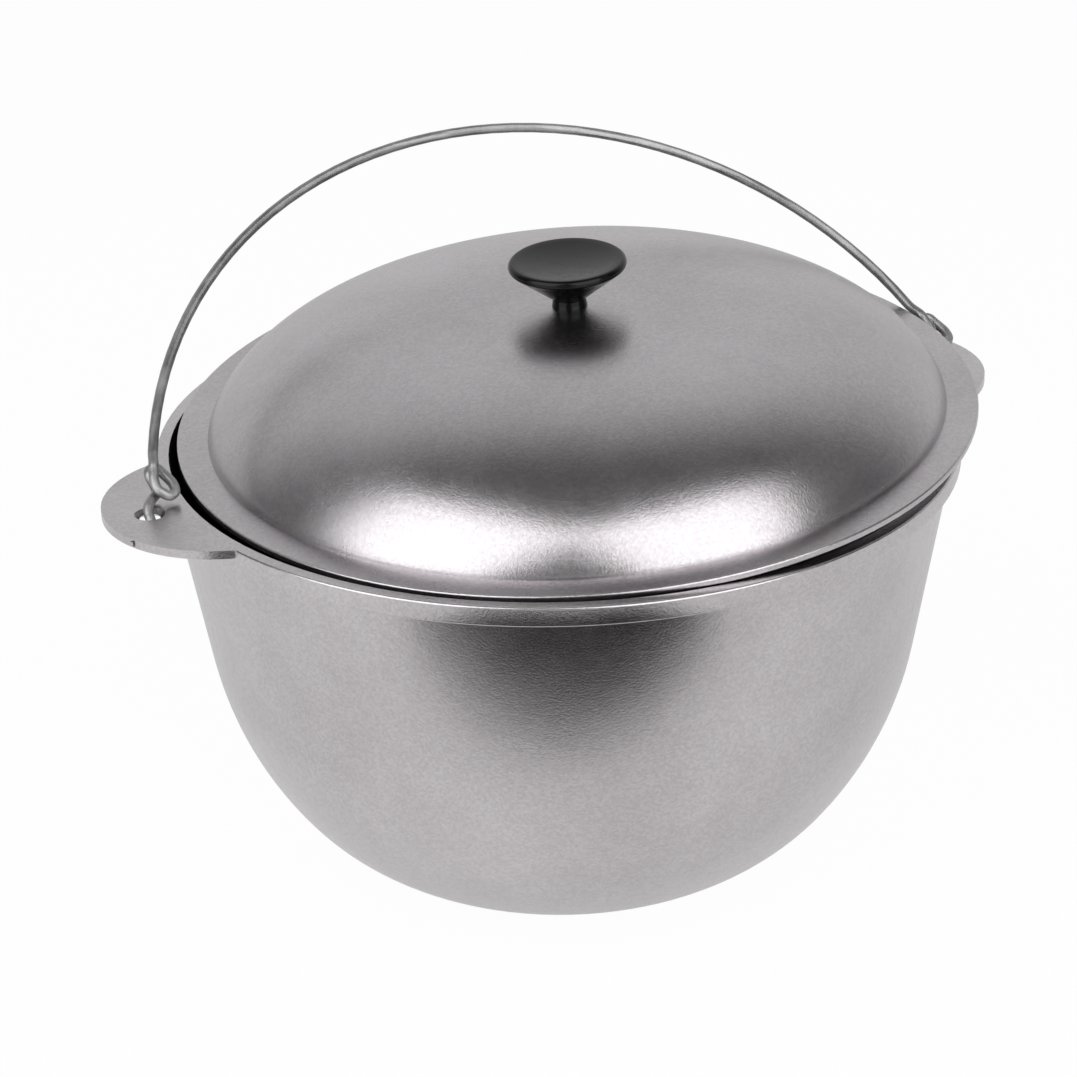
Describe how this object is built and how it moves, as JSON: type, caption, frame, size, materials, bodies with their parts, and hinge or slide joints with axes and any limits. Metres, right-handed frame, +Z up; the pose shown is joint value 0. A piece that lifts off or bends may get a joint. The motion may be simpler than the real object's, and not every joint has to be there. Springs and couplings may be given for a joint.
{
  "type": "cauldron",
  "caption": "Round cast-aluminium cauldron with two pierced ears, a hinged wire bail and a loose domed lid with a black knob.",
  "frame": {"origin": "centre of the flat base, on the surface the cauldron stands on", "axes": "+Z up, +X through the right ear's hole, +Y towards the side the bail leans to at rest"},
  "size_m": [0.3772, 0.3246, 0.2744],
  "materials": {
    "cast_aluminium": "satin, tumbled casting",
    "lid_aluminium": "satin, tumbled casting",
    "phenolic": "gloss black",
    "brass_insert": "machined",
    "zinc_steel": "zinc plated",
    "galvanised_wire": "dull galvanised"
  },
  "bodies": {
    "pot": {"pot": "cast_aluminium"},
    "lid": {"lid": "lid_aluminium", "knob": "phenolic", "knob_insert": "brass_insert", "knob_screw": "zinc_steel", "knob_washer": "zinc_steel", "lock_washer": "zinc_steel"},
    "bail": {"bail": "galvanised_wire"}
  },
  "joints": [
    {"name": "lid_lift", "type": "slide", "parent": "pot", "child": "lid", "axis": [-0.1498, -0.6991, 0.6991], "range_m": [0, 0.28]},
    {"name": "bail_hinge", "type": "hinge", "parent": "pot", "child": "bail", "pos_m": [0, 0, 0.18], "axis": [1, 0, 0], "range_deg": [0, 102]}
  ]
}
